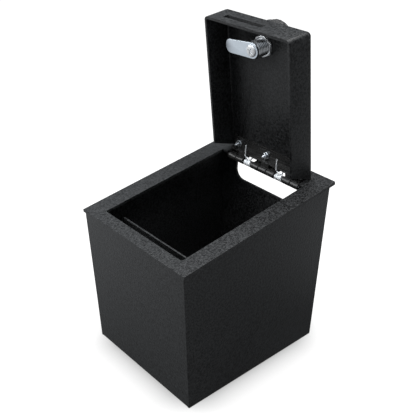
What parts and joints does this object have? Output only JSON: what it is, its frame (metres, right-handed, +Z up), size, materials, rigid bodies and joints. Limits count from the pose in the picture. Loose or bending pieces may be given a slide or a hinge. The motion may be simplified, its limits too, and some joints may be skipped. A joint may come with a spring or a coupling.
{
  "type": "console safe",
  "caption": "Small welded steel safe for a vehicle console: a tapered box with a sloping rim, a spring-hinged lid that drops into the rim and a cam lock.",
  "frame": {"origin": "on the floor, in the middle of the rim's footprint, with the floor plate's underside at z = 0", "axes": "+Z up, +Y towards the hinge (rear), -Y towards the front wall; the lid stands open at rest"},
  "size_m": [0.16, 0.1994, 0.3387],
  "materials": {
    "box_steel": "fine textured black powder coat",
    "lid_steel": "fine textured black powder coat",
    "hinge_steel": "satin black coat",
    "pin_steel": "plain steel",
    "spring_zinc": "bright drawn wire",
    "bolt_zinc": "bright zinc plate",
    "lock_black": "satin black",
    "lock_steel": "nickel plate",
    "lock_zinc": "bright zinc plate"
  },
  "bodies": {
    "box": {"floor_plate": "box_steel", "front_wall": "box_steel", "rear_wall": "box_steel", "left_wall": "box_steel", "right_wall": "box_steel", "rim_frame": "box_steel", "latch_channel": "box_steel", "hinge_box_leaf": "hinge_steel", "hinge_pin": "pin_steel", "left_spring": "spring_zinc", "right_spring": "spring_zinc"},
    "lid": {"lid_pan": "lid_steel", "hinge_lid_leaf": "hinge_steel", "leaf_bolts": "bolt_zinc", "leaf_washers": "bolt_zinc", "leaf_nuts": "bolt_zinc", "lock_collar": "lock_black", "lock_barrel": "lock_steel", "lock_nut": "lock_zinc"},
    "lock_plug": {"lock_knob": "lock_black", "key_core": "lock_steel", "key_pins": "lock_zinc", "lock_spindle": "lock_steel", "cam": "lock_zinc", "cam_screw": "lock_zinc"}
  },
  "joints": [
    {"name": "lid_hinge", "type": "hinge", "parent": "box", "child": "lid", "pos_m": [0, 0.07537, 0.17761], "axis": [1, 0, 0], "range_deg": [0, 91.6], "stiffness_Nm_per_rad": 0.35, "springref_deg": -34.38, "deforming": ["left_spring", "right_spring"]},
    {"name": "lock_turn", "type": "hinge", "parent": "lid", "child": "lock_plug", "pos_m": [-0.0032, 0.07612, 0.3124], "axis": [0, 0.9947, 0.1028], "range_deg": [0, 90]}
  ]
}
